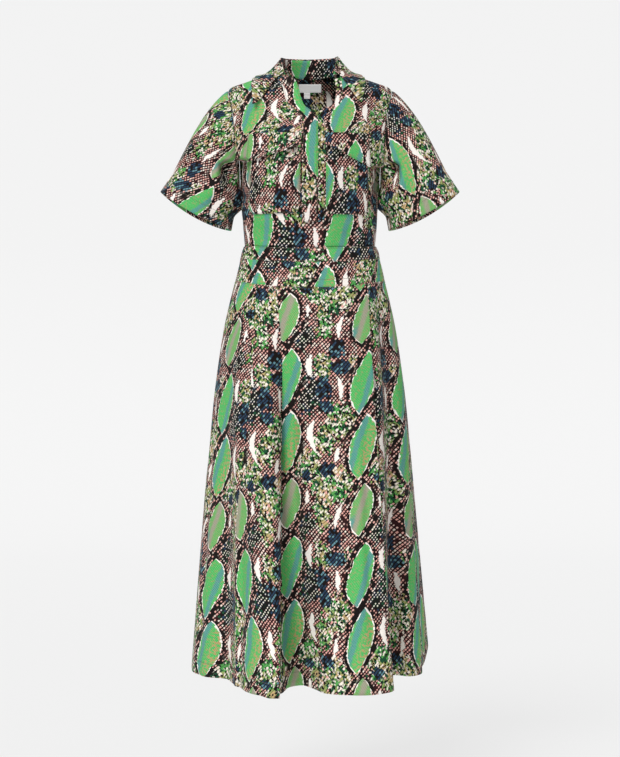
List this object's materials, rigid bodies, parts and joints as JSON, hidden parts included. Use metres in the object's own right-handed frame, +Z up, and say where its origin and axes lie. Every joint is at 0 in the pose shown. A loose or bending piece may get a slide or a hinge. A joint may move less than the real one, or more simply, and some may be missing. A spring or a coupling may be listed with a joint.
{
  "type": "shirtwaist dress",
  "caption": "Midi shirt dress with spread collar, half placket, flap chest pockets, short set-in sleeves, shaped waistband and pleated skirt, worn form with no wearer.",
  "frame": {"origin": "between the two side neck points, on the line of the shoulder seams, where the wearer's shoulders carry the dress", "axes": "+Z up along the body, -Y towards the front of the dress, +X towards the wearer's left arm"},
  "size_m": [0.598, 0.4854, 1.2432],
  "materials": {
    "bodice_cloth": "printed cotton poplin, matt",
    "skirt_cloth": "printed cotton poplin, matt",
    "band_cloth": "printed cotton poplin, fused, matt",
    "trim_cloth": "printed cotton poplin, doubled and topstitched, matt",
    "label_cloth": "woven tape, plain off-white"
  },
  "bodies": {
    "root": {"bodice_front": "bodice_cloth", "bodice_back": "bodice_cloth", "sleeve_right": "bodice_cloth", "sleeve_left": "bodice_cloth", "placket_over": "trim_cloth", "placket_under": "trim_cloth", "pocket_left": "trim_cloth", "pocket_flap_left": "trim_cloth", "pocket_right": "trim_cloth", "pocket_flap_right": "trim_cloth", "collar_stand": "trim_cloth", "collar_fall": "trim_cloth", "waistband_upper_front": "band_cloth", "waistband_upper_back": "band_cloth", "waistband_lower_front": "band_cloth", "waistband_lower_back": "band_cloth", "skirt_front": "skirt_cloth", "skirt_back": "skirt_cloth", "neck_label": "label_cloth", "size_tab": "label_cloth"}
  },
  "joints": []
}
